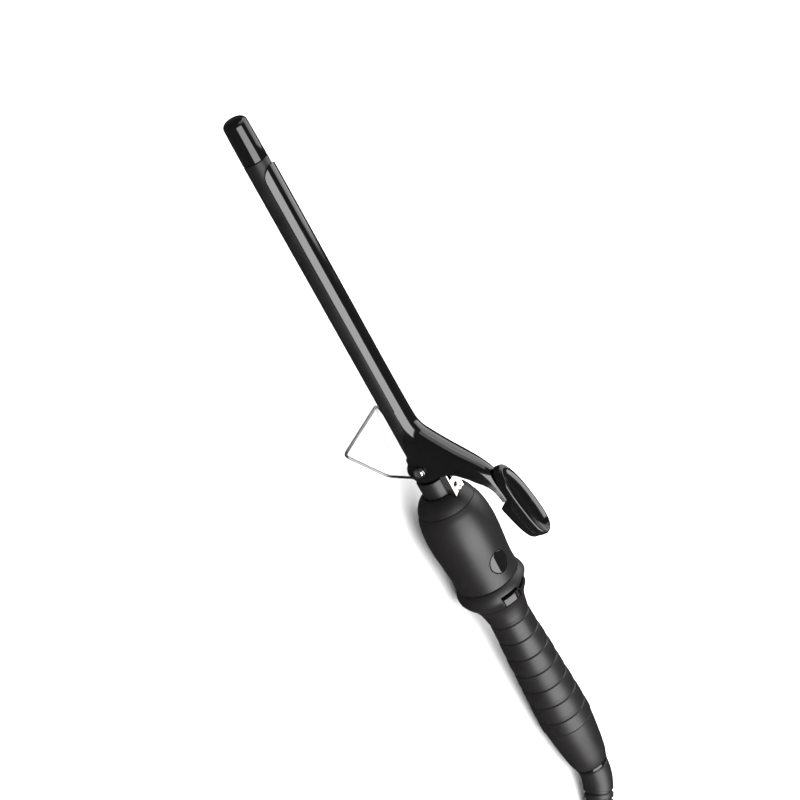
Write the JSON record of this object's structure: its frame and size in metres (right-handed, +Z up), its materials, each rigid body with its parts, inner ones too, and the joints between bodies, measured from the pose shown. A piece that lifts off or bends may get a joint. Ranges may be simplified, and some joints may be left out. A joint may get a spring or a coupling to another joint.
{
  "type": "curling iron",
  "caption": "Slim curling iron with a spring clamp, thumb lever, fold-out wire stand, slide control, ringed soft-touch handle and tied-up mains cord",
  "frame": {"origin": "on the table under the middle of the iron, its cord left out", "axes": "-X towards the tip, +X towards the cord, +Z up, the clamp on top"},
  "size_m": [0.6243, 0.0534, 0.0656],
  "materials": {
    "gloss_black": "glossy black moulded plastic",
    "coated_barrel": "matte black ceramic-type coating on steel",
    "lacquered_clamp": "high-gloss black lacquer on pressed steel",
    "soft_touch": "fine matte soft-touch black with a faint warm tint",
    "cord_rubber": "black flexible PVC",
    "nickel": "bright nickel plate",
    "steel": "plain steel",
    "aluminium": "extruded aluminium",
    "brass": "turned brass",
    "ceramic": "off-white fired ceramic",
    "glass_fibre": "woven glass-fibre sleeving",
    "board": "green circuit board",
    "nylon": "dark grey heat-resistant nylon",
    "grey_plastic": "light grey moulded plastic",
    "lens": "dark smoked translucent lens"
  },
  "bodies": {
    "root": {"tip_cap": "gloss_black", "barrel_tube": "coated_barrel", "base_sleeve": "coated_barrel", "heat_spreader_upper": "aluminium", "heat_spreader_lower": "aluminium", "ceramic_heater": "ceramic", "indicator_led": "ceramic", "lead_sleeve": "glass_fibre", "heater_lead_live": "glass_fibre", "heater_lead_neutral": "glass_fibre", "hinge_bracket": "nickel", "bracket_screw": "nickel", "torsion_spring": "nickel", "pivot_screw_near": "nickel", "pivot_screw_far": "nickel", "plug_blade_left": "nickel", "plug_blade_right": "nickel", "spring_pin": "steel", "thermal_fuse": "steel", "pivot_bush_near": "brass", "pivot_bush_far": "brass", "contact_brush_live": "brass", "contact_brush_neutral": "brass", "front_collar": "soft_touch", "upper_shell": "soft_touch", "control_collar": "soft_touch", "grip_sleeve": "soft_touch", "tail_cap": "soft_touch", "lamp_lens": "lens", "board_lead_neutral": "grey_plastic", "switch_track": "nylon", "barrel_bulkhead": "nylon", "inner_chassis": "nylon", "capacitor": "nylon", "triac": "nylon", "control_board": "board", "board_lead_live": "cord_rubber", "strain_relief": "cord_rubber", "cord_lead": "cord_rubber", "cord_hank": "cord_rubber", "cord_tail": "cord_rubber", "hank_tie": "cord_rubber", "plug_body": "cord_rubber"},
    "clamp": {"clamp_lever": "lacquered_clamp", "thumb_pad": "gloss_black", "thumb_cover": "gloss_black", "cover_screw": "steel", "thumb_screw": "steel"},
    "stand": {"wire_stand": "nickel"},
    "control": {"slide_knob": "gloss_black"},
    "swivel": {"swivel_collar": "gloss_black", "swivel_retainer": "nylon", "slip_ring_live": "brass", "slip_ring_neutral": "brass"}
  },
  "joints": [
    {"name": "clamp_hinge", "type": "hinge", "parent": "root", "child": "clamp", "pos_m": [-0.00584, 0, 0.02369], "axis": [0, 1, 0], "range_deg": [0, 20], "stiffness_Nm_per_rad": 0.3, "springref_deg": -28.65, "deforming": ["torsion_spring"]},
    {"name": "stand_hinge", "type": "hinge", "parent": "root", "child": "stand", "pos_m": [-0.00584, 0, 0.02369], "axis": [0, -1, 0], "range_deg": [0, 100]},
    {"name": "control_slide", "type": "hinge", "parent": "root", "child": "control", "pos_m": [0.07199, 0, 0.01837], "axis": [-0.9985, 0, 0.0541], "range_deg": [0, 52]},
    {"name": "cord_swivel", "type": "hinge", "parent": "root", "child": "swivel", "pos_m": [0.18382, 0, 0.0123], "axis": [0.9985, 0, -0.0541], "continuous": true}
  ]
}
